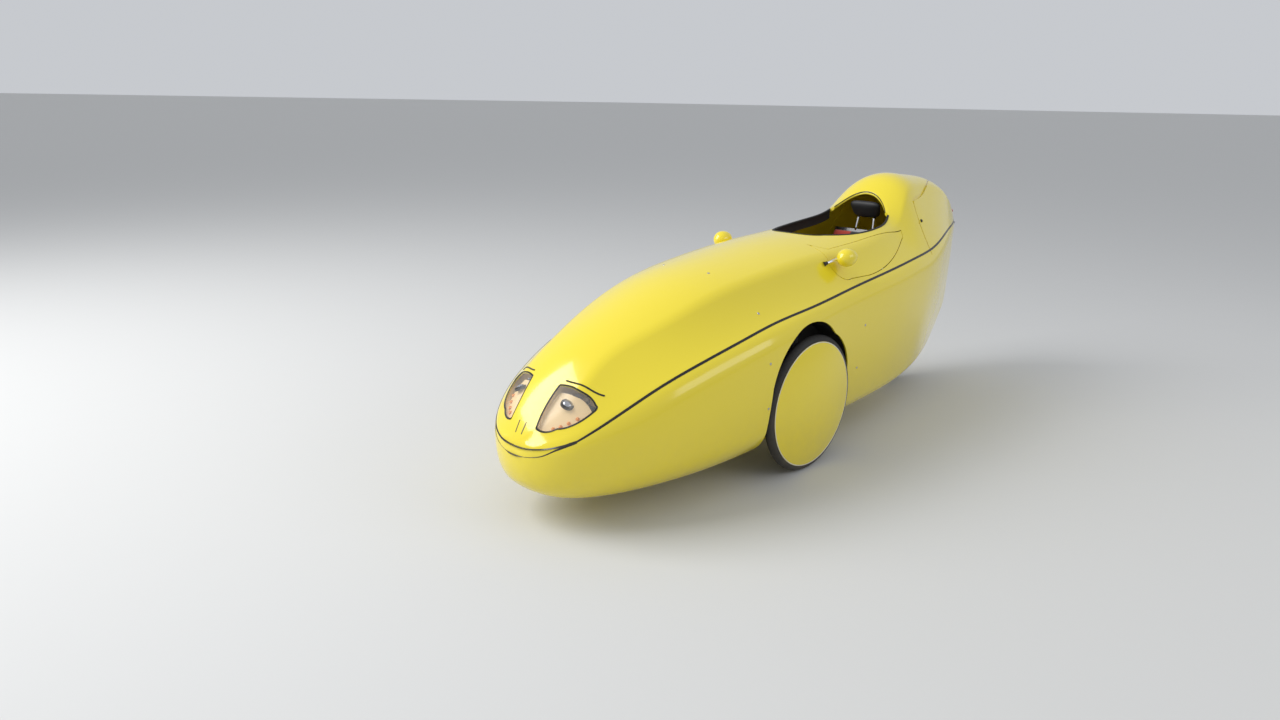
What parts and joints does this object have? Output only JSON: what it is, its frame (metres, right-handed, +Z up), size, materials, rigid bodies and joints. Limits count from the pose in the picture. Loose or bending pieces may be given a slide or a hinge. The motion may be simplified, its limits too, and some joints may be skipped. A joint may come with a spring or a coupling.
{
  "type": "velomobile",
  "caption": "Pedal three-wheeler in a closed streamlined shell: steered front wheels in arches with disc covers, hidden rear wheel, open cockpit with hood, tail hatch.",
  "frame": {"origin": "on the ground below the middle of the overall length and width", "axes": "+X forward to the nose, +Y to the rider's left, +Z up"},
  "size_m": [2.708, 0.7442, 0.9688],
  "materials": {
    "body_paint": "gloss",
    "black_plastic": "satin",
    "window": "clear",
    "lamp_tray": "satin",
    "lamp": "gloss",
    "tail_lamp": "gloss",
    "rubber": "matt",
    "tyre": "matt",
    "rim": "satin",
    "steel": "satin",
    "frame": "satin",
    "tube": "polished",
    "seat_shell": "satin",
    "seat_cloth": "woven",
    "headrest": "matt",
    "mirror_body": "gloss",
    "mirror_glass": "polished"
  },
  "bodies": {
    "shell": {"axle_beam": "frame", "cockpit_edging": "rubber", "cockpit_panel": "body_paint", "crank_post": "frame", "headlamp_left": "lamp", "headlamp_right": "lamp", "headrest_pad": "headrest", "headrest_tubes": "tube", "lamp_tray": "lamp_tray", "lamp_window_left": "window", "lamp_window_right": "window", "lower_shell": "body_paint", "mirror_glass_left": "mirror_glass", "mirror_glass_right": "mirror_glass", "mirror_housing_left": "mirror_body", "mirror_housing_right": "mirror_body", "rear_wheel_box": "black_plastic", "seat_pad": "seat_cloth", "seat_shell": "seat_shell", "side_panel": "body_paint", "strut_left": "frame", "strut_right": "frame", "swing_arm": "frame", "upper_shell": "body_paint", "wheel_well_left": "black_plastic", "wheel_well_right": "black_plastic"},
    "hatch": {"tail_hatch": "body_paint", "tail_lamp": "tail_lamp"},
    "left_knuckle": {"knuckle_left": "steel"},
    "right_knuckle": {"knuckle_right": "steel"},
    "left_wheel": {"front_tyre_left": "tyre", "front_rim_left": "rim", "wheel_cover_left": "body_paint"},
    "right_wheel": {"front_tyre_right": "tyre", "front_rim_right": "rim", "wheel_cover_right": "body_paint"},
    "rear_wheel": {"rear_tyre": "tyre", "rear_rim": "rim"},
    "steering": {"tiller": "steel", "grip_left": "rubber", "grip_right": "rubber"},
    "track_rod": {"tie_rod": "steel"},
    "crankset": {"cranks": "steel"},
    "left_pedal": {"pedal_left": "black_plastic"},
    "right_pedal": {"pedal_right": "black_plastic"}
  },
  "joints": [
    {"name": "steer_left", "type": "hinge", "parent": "shell", "child": "left_knuckle", "pos_m": [0.312, 0.245, 0.243], "axis": [0, 0, 1], "range_deg": [-15, 15]},
    {"name": "steer_right", "type": "hinge", "parent": "shell", "child": "right_knuckle", "pos_m": [0.312, -0.245, 0.243], "axis": [0, 0, 1], "range_deg": [-15, 15]},
    {"name": "tiller_turn", "type": "hinge", "parent": "shell", "child": "steering", "pos_m": [0.312, 0, 0.224], "axis": [0, 0, 1], "range_deg": [-15, 15]},
    {"name": "track_rod_slide", "type": "slide", "parent": "shell", "child": "track_rod", "axis": [0, 1, 0], "range_m": [-0.0163, 0.0163]},
    {"name": "wheel_left_spin", "type": "hinge", "parent": "left_knuckle", "child": "left_wheel", "pos_m": [0.312, 0.3275, 0.243], "axis": [0, 1, 0], "continuous": true},
    {"name": "wheel_right_spin", "type": "hinge", "parent": "right_knuckle", "child": "right_wheel", "pos_m": [0.312, -0.3275, 0.243], "axis": [0, 1, 0], "continuous": true},
    {"name": "wheel_rear_spin", "type": "hinge", "parent": "shell", "child": "rear_wheel", "pos_m": [-0.888, 0, 0.243], "axis": [0, 1, 0], "continuous": true},
    {"name": "crank_turn", "type": "hinge", "parent": "shell", "child": "crankset", "pos_m": [0.912, 0, 0.33], "axis": [0, 1, 0], "continuous": true},
    {"name": "pedal_left_turn", "type": "hinge", "parent": "crankset", "child": "left_pedal", "pos_m": [1.067, 0.109, 0.33], "axis": [0, 1, 0], "continuous": true},
    {"name": "pedal_right_turn", "type": "hinge", "parent": "crankset", "child": "right_pedal", "pos_m": [0.757, -0.109, 0.33], "axis": [0, 1, 0], "continuous": true},
    {"name": "hatch_lift", "type": "hinge", "parent": "shell", "child": "hatch", "pos_m": [-1.348, 0, 0.706], "axis": [0, -1, 0], "range_deg": [0, 75]}
  ],
  "couplings": [
    {"joint": "steer_right", "follows": "steer_left", "ratio": 1},
    {"joint": "tiller_turn", "follows": "steer_left", "ratio": 1},
    {"joint": "track_rod_slide", "follows": "steer_left", "m_per_rad": -0.062}
  ]
}
